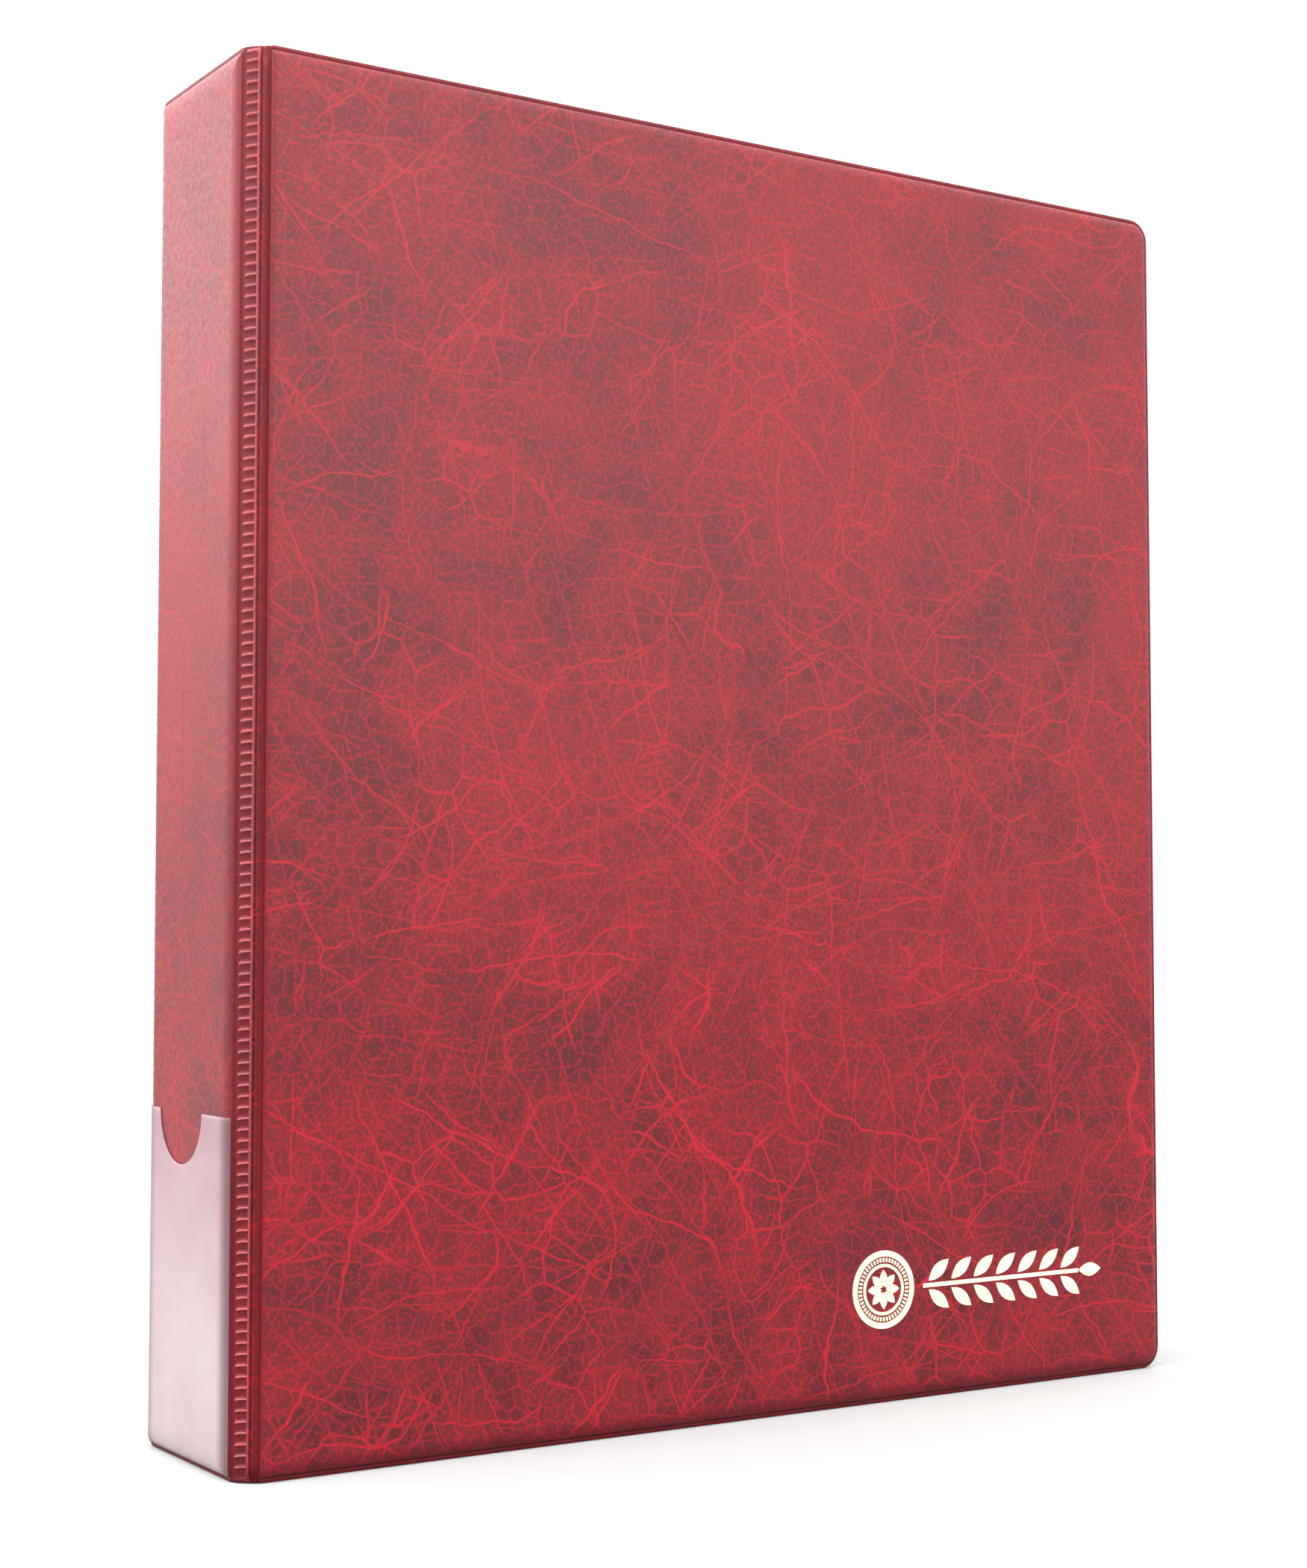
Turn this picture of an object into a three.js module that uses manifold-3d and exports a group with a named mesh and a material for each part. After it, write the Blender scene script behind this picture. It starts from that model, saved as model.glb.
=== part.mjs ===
// Coin album: a welded vinyl ring binder with a four-ring mechanism and ten punched coin pages, closed.
// Units are millimetres. +Z is up, the front cover faces -Y and the spine faces -X.
// The origin is the middle of the closed album's footprint.
import * as THREE from "three";
import { mergeVertices } from "three/addons/utils/BufferGeometryUtils.js";
import Module from "manifold-3d";

const wasm = await Module();
wasm.setup();

// ---------------------------------------------------------------- driving dimensions
const HEIGHT = 275; // top edge to bottom edge
const COVER_WIDTH = 236; // spine face to fore-edge
const DEPTH = 50; // outside of the front cover to outside of the back cover
const CORNER_RADIUS = 5; // fore-edge corners

// A cover or the spine is a board between an outer and an inner vinyl skin, welded round the edge.
const SKIN = 0.4;
const BOARD = 2;
const LAYER_GAP = 0.1;
const PANEL = 2 * SKIN + 2 * LAYER_GAP + BOARD;
const WELD_DEPTH = PANEL / 2; // the weld lies half-way through the panel
const WELD_WIDTH = 1; // flat welded rim outside the board
const SHOULDER = 1.8; // sloping skin between the weld and the face
const HINGE_WELD = 0.4;
const COVER_HINGE_SHOULDER = 1.2;
const SPINE_HINGE_SHOULDER = 2.2;
const BOARD_CLEARANCE = 0.5;

// Each cover joins the spine by a welded hinge strip that folds along two creases.
const CREASE = 4.6; // crease to the outside corner, along the face
const CREASE_GAP = 0.3; // crease line to the solid on either side
const STRIP_THICKNESS = 0.8;

// The label pocket is a clear film over the bottom of the spine.
const FILM = 0.3;
const FILM_LIFT = 0.2;
const FILM_HEIGHT = 70;
const FILM_MARGIN = 0.6;
const NOTCH_RADIUS = 10.5;
const NOTCH_OFFSET = 3; // the thumb notch sits towards the back cover

// Ring mechanism, measured from the spine's inner face.
const RING_HEIGHTS = [-77.5, -32.5, 32.5, 77.5].map((z) => HEIGHT / 2 + z); // 45-65-45 spacing
const RING_RADIUS = 16; // centreline
const RING_CENTRE = 18;
const WIRE = 1.5; // radius
const RING_FOOT = 132; // degrees round the ring at which the wire leaves the circle
const CASE_LENGTH = 251;
const CASE_WIDTH = 25;
const CASE_RISE = 6;
const CASE_APEX = 6.4;
const SHEET = 1; // steel thickness of the case
const LIP = 0.8;
const LIP_REACH = 3.4;
const BLADE = 0.8;
const BLADE_LENGTH = 241.4;
const BLADE_PIVOT = { x: 2.3, y: 8.3 };
const BLADE_CLOSED = THREE.MathUtils.degToRad(5); // closed blades dip towards the spine
const BLADE_GAP = 0.3; // between the two blades' meeting edges
const TIP_GAP = 0.6; // between the tips of two half rings
const RIVET_HEIGHTS = [-50, 50].map((z) => HEIGHT / 2 + z);
const RIVET = { shaft: 2, head: 4.5, collar: 2.9, dome: 3.5 };
const LEVER_PIVOT = { x: 2.9, z: 122.5 }; // z from the middle of the mechanism
const PIN_RADIUS = 0.9;
const PIN_LENGTH = 20.8;

// Coin pages hang on the rings by four oval slots.
const PAGE = { width: 200, height: 250, thickness: 0.8, radius: 3 };
const PAGE_OFFSETS = [-9, -7, -5, -3, -1, 1, 3, 5, 7, 9]; // from the middle plane
const PAGE_BIND = 8; // ring centreline to the page's bound edge
const SLOT = { inner: 2.6, outer: 7, height: 5.5 };

// Places that follow from the dimensions above.
const SPINE_FACE = -(COVER_WIDTH - FILM - FILM_LIFT) / 2; // the film's outer face closes the box
const FRONT_FACE = -DEPTH / 2;
const MECHANISM = SPINE_FACE + PANEL;
const PANEL_START = CREASE + CREASE_GAP;

// ---------------------------------------------------------------- materials
const material = (color, roughness, metalness = 0, opacity = 1) =>
  new THREE.MeshStandardMaterial({ color, roughness, metalness, opacity, transparent: opacity < 1 });
const MARBLED_VINYL = material(0x9a3c45, 0.45);
const LINING_VINYL = material(0x6a1f29, 0.55);
const GREYBOARD = material(0x8d8578, 0.95);
const CLEAR_FILM = material(0xe9dcdf, 0.2, 0, 0.5);
const NICKEL = material(0xc4c6c8, 0.25, 1);
const PAGE_FILM = material(0xdfe6ea, 0.15, 0, 0.4);

// ---------------------------------------------------------------- helpers
/** A closed geometry as a solid that can be joined and cut. */
function solid(geometry) {
  const bare = new THREE.BufferGeometry();
  bare.setAttribute("position", geometry.getAttribute("position"));
  bare.setIndex(geometry.getIndex());
  const merged = mergeVertices(bare, 1e-4);
  const vertProperties = merged.getAttribute("position").array;
  const triVerts = new Uint32Array(merged.getIndex().array);
  return new wasm.Manifold(new wasm.Mesh({ numProp: 3, vertProperties, triVerts }));
}

/** A solid as a geometry. */
function geometryOf(body) {
  const { vertProperties, triVerts } = body.getMesh();
  return new THREE.BufferGeometry()
    .setAttribute("position", new THREE.BufferAttribute(new Float32Array(vertProperties), 3))
    .setIndex(new THREE.BufferAttribute(new Uint32Array(triVerts), 1));
}

/** The first geometry with the others cut out of it. */
function cut(base, tools) {
  return geometryOf(tools.reduce((body, tool) => body.subtract(solid(tool)), solid(base)));
}

/** All the geometries joined into one. */
function join(parts) {
  return geometryOf(parts.map(solid).reduce((a, b) => a.add(b)));
}

function mesh(name, geometry, finish) {
  const made = new THREE.Mesh(geometry, finish);
  made.name = name;
  return made;
}

/** A flat plate: a shape in the XZ plane, filling y = low to high. */
function plate(shape, low, high, curveSegments = 6) {
  return new THREE.ExtrudeGeometry(shape, { depth: high - low, bevelEnabled: false, curveSegments })
    .rotateX(Math.PI / 2)
    .translate(0, high, 0);
}

/** A prism: a shape in the XY plane, filling z = low to high. */
function prism(shape, low, high, curveSegments = 10) {
  return new THREE.ExtrudeGeometry(shape, { depth: high - low, bevelEnabled: false, curveSegments })
    .translate(0, 0, low);
}

/** A round bar along x, y or z. */
function bar(axis, radius, length, x, y, z, sides = 16) {
  const made = new THREE.CylinderGeometry(radius, radius, length, sides);
  if (axis === "x") made.rotateZ(Math.PI / 2);
  if (axis === "z") made.rotateX(Math.PI / 2);
  return made.translate(x, y, z);
}

const polygon = (points) => new THREE.Shape(points.map(([x, y]) => new THREE.Vector2(x, y)));

// ---------------------------------------------------------------- panels
/** A rectangle in x and z with two corner radii, moved in by the given margins. */
function inset(rect, margin) {
  const shrink = (radius) => Math.max(0.5, radius - margin.z);
  return {
    x0: rect.x0 + margin.x0,
    x1: rect.x1 - margin.x1,
    z0: rect.z0 + margin.z,
    z1: rect.z1 - margin.z,
    r0: shrink(rect.r0),
    r1: shrink(rect.r1),
  };
}

/** A rounded rectangle as a loop of points at depth y, counter-clockwise seen from -y. */
function loop({ x0, x1, z0, z1, r0, r1 }, y) {
  const steps = 4;
  const corners = [
    [x0 + r0, z0 + r0, r0, 2],
    [x1 - r1, z0 + r1, r1, 3],
    [x1 - r1, z1 - r1, r1, 0],
    [x0 + r0, z1 - r0, r0, 1],
  ];
  return corners.flatMap(([cx, cz, radius, quarter]) =>
    Array.from({ length: steps + 1 }, (_, i) => {
      const angle = ((quarter + i / steps) * Math.PI) / 2;
      return new THREE.Vector3(cx + radius * Math.cos(angle), y, cz + radius * Math.sin(angle));
    }),
  );
}

/** A closed skin over rounded rectangles [rect, depth], one behind the other. */
function loft(sections) {
  const ordered = [...sections].sort((a, b) => a[1] - b[1]);
  const loops = ordered.map(([rect, y]) => loop(rect, y));
  const n = loops[0].length;
  const last = (loops.length - 1) * n;
  const index = [];
  for (let k = 0; k < last; k += n)
    for (let i = 0; i < n; i++) {
      const [a, b] = [k + i, k + ((i + 1) % n)];
      index.push(a, a + n, b + n, a, b + n, b);
    }
  const outline = loops[0].map((p) => new THREE.Vector2(p.x, p.z));
  for (const [a, b, c] of THREE.ShapeUtils.triangulateShape(outline, []))
    index.push(a, b, c, last + a, last + c, last + b);
  return new THREE.BufferGeometry()
    .setAttribute("position", new THREE.Float32BufferAttribute(loops.flat().flatMap((p) => p.toArray()), 3))
    .setIndex(index);
}

/** One vinyl skin: a shallow tray with a welded rim. depth turns a depth below the skin's face into y. */
function skin(rect, shoulder, depth) {
  const rim = WELD_DEPTH - LAYER_GAP / 2 - SKIN; // depth of the rim's outer face
  const foot = inset(rect, shoulder.weld);
  const face = inset(foot, shoulder.slope);
  const wall = { x0: SKIN, x1: SKIN, z: SKIN };
  const shell = loft([[face, depth(0)], [foot, depth(rim)], [foot, depth(rim + SKIN)]]);
  const flange = loft([[rect, depth(rim)], [rect, depth(rim + SKIN)]]);
  const hollow = loft([
    [inset(face, wall), depth(SKIN)],
    [inset(foot, wall), depth(rim)],
    [inset(foot, wall), depth(rim + 2 * SKIN)],
  ]);
  return cut(join([shell, flange]), [hollow]);
}

/** Board, outer skin and lining of one cover or of the spine; x runs along it, y is depth, z is up. */
function panel(name, rect, shoulder, holes = { board: [], lining: [] }) {
  const group = new THREE.Group();
  const { weld, slope } = shoulder;
  const room = { x0: BOARD_CLEARANCE, x1: BOARD_CLEARANCE, z: BOARD_CLEARANCE };
  const boardRect = inset(inset(inset(rect, weld), slope), room);
  const top = SKIN + LAYER_GAP;
  const board = loft([[boardRect, top], [boardRect, top + BOARD]]);
  const lining = skin(rect, shoulder, (d) => PANEL - d);
  group.add(mesh(`${name}_outer_skin`, skin(rect, shoulder, (d) => d), MARBLED_VINYL));
  group.add(mesh(`${name}_board`, holes.board.length ? cut(board, holes.board) : board, GREYBOARD));
  group.add(mesh(`${name}_lining`, holes.lining.length ? cut(lining, holes.lining) : lining, LINING_VINYL));
  return group;
}

/** A cover, lying along x from its crease to the fore-edge, with its outer face at y = 0. */
function cover(name) {
  const rect = { x0: PANEL_START, x1: COVER_WIDTH, z0: 0, z1: HEIGHT, r0: 1, r1: CORNER_RADIUS };
  return panel(name, rect, {
    weld: { x0: HINGE_WELD, x1: WELD_WIDTH, z: WELD_WIDTH },
    slope: { x0: COVER_HINGE_SHOULDER, x1: SHOULDER, z: SHOULDER },
  });
}

/** The hinge strip between a cover and the spine, lying across the corner at 45 degrees. */
function hingeStrip(name) {
  const chord = (CREASE - WELD_DEPTH) * Math.SQRT2;
  const width = chord - 2 * CREASE_GAP;
  const strip = mesh(name, new THREE.BoxGeometry(width, STRIP_THICKNESS, HEIGHT), MARBLED_VINYL);
  const middle = (CREASE + WELD_DEPTH) / 2;
  strip.position.set(middle, middle, HEIGHT / 2);
  strip.rotation.z = -Math.PI / 4;
  return strip;
}

/** The front cover and its hinge strip, or, turned over, the back ones. */
function coverAndStrip(side) {
  const group = new THREE.Group();
  group.add(cover(`${side}_cover`), hingeStrip(`${side}_hinge_strip`));
  return group;
}

// ---------------------------------------------------------------- spine
/** Clear film pocket on the spine, with a round thumb notch in its top edge. */
function labelPocket(length) {
  const [left, right] = [FILM_MARGIN, length - FILM_MARGIN];
  const middle = length / 2 - NOTCH_OFFSET;
  const shape = new THREE.Shape()
    .moveTo(left, FILM_MARGIN)
    .lineTo(right, FILM_MARGIN)
    .lineTo(right, FILM_HEIGHT)
    .lineTo(middle + NOTCH_RADIUS, FILM_HEIGHT)
    .absarc(middle, FILM_HEIGHT, NOTCH_RADIUS, 0, Math.PI, true)
    .lineTo(left, FILM_HEIGHT);
  return mesh("label_pocket", plate(shape, -FILM_LIFT - FILM, -FILM_LIFT, 12), CLEAR_FILM);
}

/** The spine panel: x runs towards the front cover, y is depth from the outer face. */
function spine() {
  const length = DEPTH - 2 * PANEL_START;
  const rect = { x0: 0, x1: length, z0: 0, z1: HEIGHT, r0: 1, r1: 1 };
  const head = RIVET.head + 0.2;
  const bores = (radius, z) => bar("y", radius, 2 * PANEL, length / 2, PANEL, z);
  const recess = (z) => bar("y", head, 1.6, length / 2, 0.5, z);
  const group = panel(
    "spine",
    rect,
    {
      weld: { x0: HINGE_WELD, x1: HINGE_WELD, z: WELD_WIDTH },
      slope: { x0: SPINE_HINGE_SHOULDER, x1: SPINE_HINGE_SHOULDER, z: SHOULDER },
    },
    {
      board: RIVET_HEIGHTS.flatMap((z) => [bores(RIVET.shaft + 0.2, z), recess(z)]),
      lining: RIVET_HEIGHTS.map((z) => bores(RIVET.shaft + 0.2, z)),
    },
  );
  group.add(labelPocket(length));
  return group;
}

// ---------------------------------------------------------------- ring mechanism
/** Points of an arc about the case's centre of curvature. */
function caseArc(radius, centre, halfWidth, steps = 14) {
  const reach = Math.asin(halfWidth / radius);
  return Array.from({ length: steps + 1 }, (_, i) => {
    const angle = reach * (1 - (2 * i) / steps);
    return [centre + radius * Math.cos(angle), radius * Math.sin(angle)];
  });
}

/** The arched spring case, open below, with inward lips that hold the blades. */
function ringCase() {
  const half = CASE_WIDTH / 2;
  const radius = (half * half + CASE_RISE * CASE_RISE) / (2 * CASE_RISE);
  const centre = CASE_APEX - radius;
  const foot = LAYER_GAP;
  const outer = caseArc(radius, centre, half);
  const inner = caseArc(radius - SHEET, centre, half - 1.9).reverse();
  const lip = (sign) => [
    [foot + LIP, sign * (half - 1.6)],
    [foot + LIP, sign * (half - LIP_REACH)],
    [foot, sign * (half - LIP_REACH)],
    [foot, sign * half],
  ];
  const profile = polygon([...outer, ...lip(-1).reverse(), ...inner, ...lip(1)]);
  const [low, high] = [HEIGHT / 2 - CASE_LENGTH / 2, HEIGHT / 2 + CASE_LENGTH / 2];
  const slots = RING_HEIGHTS.flatMap((z) =>
    [-1, 1].map((side) => new THREE.BoxGeometry(8, 6, 4.4).translate(5.6, side * 6.6, z)),
  );
  const rivetHoles = RIVET_HEIGHTS.map((z) => bar("x", RIVET.shaft + 0.2, 6, CASE_APEX, 0, z));
  const pinHoles = [-1, 1].map((end) =>
    bar("y", PIN_RADIUS + 0.2, 2 * CASE_WIDTH, LEVER_PIVOT.x, 0, HEIGHT / 2 + end * LEVER_PIVOT.z, 12),
  );
  return mesh("ring_case", cut(prism(profile, low, high), [...slots, ...rivetHoles, ...pinHoles]), NICKEL);
}

/** A half ring's centreline: up through the case, then round the circle to the middle plane. */
function halfRingPath(side, z) {
  const tip = THREE.MathUtils.radToDeg(TIP_GAP / 2 / RING_RADIUS);
  const steps = 11;
  const arc = Array.from({ length: steps + 1 }, (_, i) => {
    const angle = THREE.MathUtils.degToRad(THREE.MathUtils.lerp(RING_FOOT, tip, i / steps));
    return [RING_CENTRE + RING_RADIUS * Math.cos(angle), RING_RADIUS * Math.sin(angle)];
  });
  const foot = [[0.9, 5], [2.7, 5.1], [4.5, 7.2]];
  const points = [...foot, ...arc].map(([x, y]) => new THREE.Vector3(x, side * y, z));
  return new THREE.CatmullRomCurve3(points, false, "centripetal");
}

function halfRing(side, z) {
  const section = new THREE.Shape().absarc(0, 0, WIRE, 0, 2 * Math.PI);
  return new THREE.ExtrudeGeometry(section, {
    steps: 24,
    curveSegments: 5,
    bevelEnabled: false,
    extrudePath: halfRingPath(side, z),
  });
}

/** One hinged blade inside the case, with holes for the feet of its half rings and notches for the rivets. */
function blade(side) {
  const { x, y } = BLADE_PIVOT;
  const width = y + 0.1 - BLADE_GAP / 2;
  const flat = new THREE.BoxGeometry(BLADE, width, BLADE_LENGTH)
    .translate(0, side * (0.1 - width / 2), HEIGHT / 2)
    .rotateZ(-side * BLADE_CLOSED)
    .translate(x, side * y, 0);
  const ringHoles = RING_HEIGHTS.map((z) => bar("x", WIRE + 0.6, 4, 2, side * 5.2, z, 12));
  const rivetNotches = RIVET_HEIGHTS.map((z) => bar("x", RIVET.collar + 0.5, 4, 2, 0, z));
  return cut(flat, [...ringHoles, ...rivetNotches]);
}

/** Both blades with their half rings. */
function ringSet(side, name) {
  const group = new THREE.Group();
  group.add(mesh(`${name}_blade`, blade(side), NICKEL));
  RING_HEIGHTS.forEach((z, i) => group.add(mesh(`${name}_half_ring_${i + 1}`, halfRing(side, z), NICKEL)));
  return group;
}

/** A rivet through spine board, lining and case: hidden head, shaft, collar under the case, domed end. */
function rivet(index, z) {
  const { shaft, head, collar, dome } = RIVET;
  const [buried, bottom] = [0.6 - PANEL, LAYER_GAP];
  const [under, above] = [CASE_APEX - SHEET - 0.5, CASE_APEX + LAYER_GAP];
  const profile = [
    [0, buried],
    [head, buried],
    [head, buried + 0.6],
    [shaft, buried + 0.6],
    [shaft, bottom],
    [collar, bottom],
    [collar, under],
    [shaft, under],
    [shaft, above],
    [dome, above],
    [0.6 * dome, above + 0.6],
    [0, above + 0.8],
  ];
  const turned = new THREE.LatheGeometry(profile.map(([r, h]) => new THREE.Vector2(r, h)), 16);
  return mesh(`case_rivet_${index + 1}`, turned.rotateZ(-Math.PI / 2).translate(0, 0, z), NICKEL);
}

/** A trigger lever about its own pivot: barrel and arm, tongue under the blades, thumb pad outside. */
function lever(name) {
  const across = (points, width) => plate(polygon(points), -width / 2, width / 2);
  const arm = [
    [-1.1, -1.3], [-1.5, -0.4], [-1.3, 0.7], [-0.4, 1.5], [0.6, 1.4], [2.4, 1.2],
    [5.9, 1.7], [6.6, 0.5], [3, -0.6], [1, -1.2],
  ];
  const tongue = [[-3.8, -2.7], [-3.8, -1.95], [-1.5, -1.95], [-0.9, -0.6], [0.7, -0.8], [-0.6, -2.7]];
  const pad = [[3.7, 0], [3.7, 1.4], [5.8, 1.7], [10.8, 8.5], [11.6, 8], [6.6, 0.5]];
  const body = join([across(arm, 9), across(tongue, 5.2), across(pad, 14)]);
  const bored = cut(body, [bar("y", PIN_RADIUS + 0.2, 20, 0, 0, 0, 12)]);
  // The profiles are drawn with x along the mechanism and z away from the spine.
  const upright = new THREE.Matrix4().makeBasis(
    new THREE.Vector3(0, 0, 1),
    new THREE.Vector3(0, -1, 0),
    new THREE.Vector3(1, 0, 0),
  );
  return mesh(name, bored.applyMatrix4(upright), NICKEL);
}

/** Lever and pivot pin at one end of the case; end is 1 at the top and -1 at the bottom. */
function trigger(end, name) {
  const group = new THREE.Group();
  const pin = mesh(`${name}_lever_pin`, bar("y", PIN_RADIUS, PIN_LENGTH, 0, 0, 0, 12), NICKEL);
  group.add(lever(`${name}_lever`), pin);
  group.position.set(LEVER_PIVOT.x, 0, HEIGHT / 2 + end * LEVER_PIVOT.z);
  if (end < 0) group.rotation.x = Math.PI;
  return group;
}

function ringMechanism() {
  const group = new THREE.Group();
  group.add(ringCase(), ringSet(-1, "front"), ringSet(1, "back"));
  RIVET_HEIGHTS.forEach((z, i) => group.add(rivet(i, z)));
  group.add(trigger(1, "top"), trigger(-1, "bottom"));
  return group;
}

// ---------------------------------------------------------------- pages
/** A rounded rectangle path in x and y. */
function roundedPath(path, x0, x1, y0, y1, r) {
  return path
    .moveTo(x0 + r, y0)
    .lineTo(x1 - r, y0)
    .absarc(x1 - r, y0 + r, r, -Math.PI / 2, 0)
    .lineTo(x1, y1 - r)
    .absarc(x1 - r, y1 - r, r, 0, Math.PI / 2)
    .lineTo(x0 + r, y1)
    .absarc(x0 + r, y1 - r, r, Math.PI / 2, Math.PI)
    .lineTo(x0, y0 + r)
    .absarc(x0 + r, y0 + r, r, Math.PI, 1.5 * Math.PI);
}

/** One coin page, threaded on the rings at its own distance from the middle plane. */
function page(index, offset) {
  const { width, height, thickness, radius } = PAGE;
  const crossing = RING_CENTRE + Math.sqrt(RING_RADIUS ** 2 - offset ** 2);
  const bottom = (HEIGHT - height) / 2;
  const bound = crossing - PAGE_BIND;
  const shape = roundedPath(new THREE.Shape(), bound, bound + width, bottom, bottom + height, radius);
  for (const z of RING_HEIGHTS) {
    const [low, high] = [z - SLOT.height / 2, z + SLOT.height / 2];
    const hole = roundedPath(new THREE.Path(), crossing - SLOT.inner, crossing + SLOT.outer, low, high, 2.7);
    shape.holes.push(hole);
  }
  const sheet = plate(shape, offset - thickness / 2, offset + thickness / 2, 2);
  return mesh(`coin_page_${String(index + 1).padStart(2, "0")}`, sheet, PAGE_FILM);
}

function pages() {
  const group = new THREE.Group();
  PAGE_OFFSETS.forEach((offset, i) => group.add(page(i, offset)));
  return group;
}

// ---------------------------------------------------------------- assembly
const front = coverAndStrip("front");
front.position.set(SPINE_FACE, FRONT_FACE, 0);

const back = coverAndStrip("back");
back.rotation.x = Math.PI;
back.position.set(SPINE_FACE, -FRONT_FACE, HEIGHT);

const spinePanel = spine();
spinePanel.rotation.z = -Math.PI / 2;
spinePanel.position.set(SPINE_FACE, DEPTH / 2 - PANEL_START, 0);

const inside = new THREE.Group();
inside.add(ringMechanism(), pages());
inside.position.set(MECHANISM, 0, 0);

const album = new THREE.Group();
album.add(front, back, spinePanel, inside);

export default album;
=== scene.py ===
"""Coin album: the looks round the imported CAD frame.

Metres, +Z up, the front cover towards -Y and the spine towards -X.
"""

import math

import bmesh
import bpy
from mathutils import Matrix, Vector, geometry, noise


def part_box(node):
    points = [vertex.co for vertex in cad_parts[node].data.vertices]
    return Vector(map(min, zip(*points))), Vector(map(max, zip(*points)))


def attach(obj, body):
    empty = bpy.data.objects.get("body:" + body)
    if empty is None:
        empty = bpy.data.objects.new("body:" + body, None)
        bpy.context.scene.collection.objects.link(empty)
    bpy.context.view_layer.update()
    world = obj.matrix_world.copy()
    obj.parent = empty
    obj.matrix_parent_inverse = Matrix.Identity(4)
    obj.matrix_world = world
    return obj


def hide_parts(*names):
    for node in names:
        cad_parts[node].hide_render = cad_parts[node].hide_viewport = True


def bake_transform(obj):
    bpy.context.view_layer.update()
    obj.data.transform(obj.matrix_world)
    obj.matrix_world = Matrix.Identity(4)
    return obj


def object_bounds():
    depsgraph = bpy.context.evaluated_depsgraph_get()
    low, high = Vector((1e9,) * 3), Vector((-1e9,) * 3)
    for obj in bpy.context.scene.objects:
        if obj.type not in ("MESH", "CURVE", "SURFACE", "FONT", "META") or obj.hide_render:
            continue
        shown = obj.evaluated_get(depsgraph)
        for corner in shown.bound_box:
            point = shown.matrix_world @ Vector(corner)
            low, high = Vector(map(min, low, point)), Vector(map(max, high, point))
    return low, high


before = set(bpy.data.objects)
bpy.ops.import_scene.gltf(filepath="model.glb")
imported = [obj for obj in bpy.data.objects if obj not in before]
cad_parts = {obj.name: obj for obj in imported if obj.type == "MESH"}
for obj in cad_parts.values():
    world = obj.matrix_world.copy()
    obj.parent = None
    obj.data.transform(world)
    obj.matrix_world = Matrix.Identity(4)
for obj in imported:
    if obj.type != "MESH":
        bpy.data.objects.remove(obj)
cad_low, cad_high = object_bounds()

MM = 0.001

# ---------------------------------------------------------------- places read from the frame
SPINE_LOW, SPINE_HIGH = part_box("spine_outer_skin")
COVER_LOW, COVER_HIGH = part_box("front_cover_outer_skin")
SPINE_X = SPINE_LOW.x  # outer face of the spine
FRONT_Y = COVER_LOW.y  # outer face of the front cover
FORE_X = COVER_HIGH.x
HEIGHT = COVER_HIGH.z
COVER_WIDTH = FORE_X - SPINE_X
DEPTH = -2 * FRONT_Y
SIDES = [(-1, "front"), (1, "back")]  # each cover's side of the middle plane, and its word

# ---------------------------------------------------------------- driving dimensions
SKIN = 0.4 * MM
PANEL = 3.0 * MM
WELD_DEPTH = PANEL / 2  # the skins of a panel are welded half way through it
WELD_GAP = 0.05 * MM  # from the middle of the weld to either skin
SKIN_INSET = 0.35 * MM  # inner surface of a skin's wall, in from the outer one
PANEL_START = 4.9 * MM  # outside corner to the edge of a panel
CREASE = 4.6 * MM  # outside corner to the fold line
CORNER = 5 * MM  # fore-edge corners
SPINE_CORNER = 1.2 * MM

RUNG_PITCH = 2.1 * MM
RUNG_HALF = 0.27 * MM
RUNG_RISE = 0.55 * MM
BEAD_RISE = 0.5 * MM

FILM_BOTTOM = 1.1 * MM
FILM_TOP = 68.2 * MM
FILM_LIFT = 0.22 * MM  # off the vinyl under it
FILM_THICKNESS = 0.18 * MM
NOTCH_RADIUS = 10.5 * MM
NOTCH_OFFSET = 3 * MM  # towards the back cover

RING_RADIUS = 16 * MM
RING_CENTRE = Vector((SPINE_X + 21 * MM, 0, 0))
RING_LEAVES = 132  # degrees round from the tip of a half ring to where it leaves its circle
WIRE = 1.5 * MM  # radius of the wire
METAL_EDGE = 0.12 * MM  # rounding of the metal edges


# ---------------------------------------------------------------- mesh helpers
def add_object(name, verts, faces, material, smooth=True, relief=None):
    """A mesh object with outward normals; relief is how proud (+1) or sunk (-1) each point is."""
    data = bpy.data.meshes.new(name)
    data.from_pydata([tuple(v) for v in verts], [], faces)
    if relief:
        data.attributes.new("relief", "FLOAT", "POINT").data.foreach_set("value", relief)
    shell = bmesh.new()
    shell.from_mesh(data)
    bmesh.ops.recalc_face_normals(shell, faces=shell.faces)
    shell.to_mesh(data)
    shell.free()
    obj = bpy.data.objects.new(name, data)
    bpy.context.scene.collection.objects.link(obj)
    data.materials.append(material)
    for face in data.polygons:
        face.use_smooth = smooth
    return obj


def stitch(rows, columns, closed):
    """Quads between neighbouring rows of points; closed joins each row's last point to its first."""
    faces = []
    for r in range(rows - 1):
        for c in range(columns if closed else columns - 1):
            n = (c + 1) % columns
            faces.append((r * columns + c, r * columns + n, (r + 1) * columns + n, (r + 1) * columns + c))
    return faces


def smoothstep(t):
    """0 to 1 with level ends, as t goes from 0 to 1."""
    t = max(0.0, min(1.0, t))
    return t * t * (3 - 2 * t)


# ---------------------------------------------------------------- shader helpers
def new_material(name):
    """A new material and its node tree."""
    material = bpy.data.materials.new(name)
    material.use_nodes = True
    return material, material.node_tree


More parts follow.
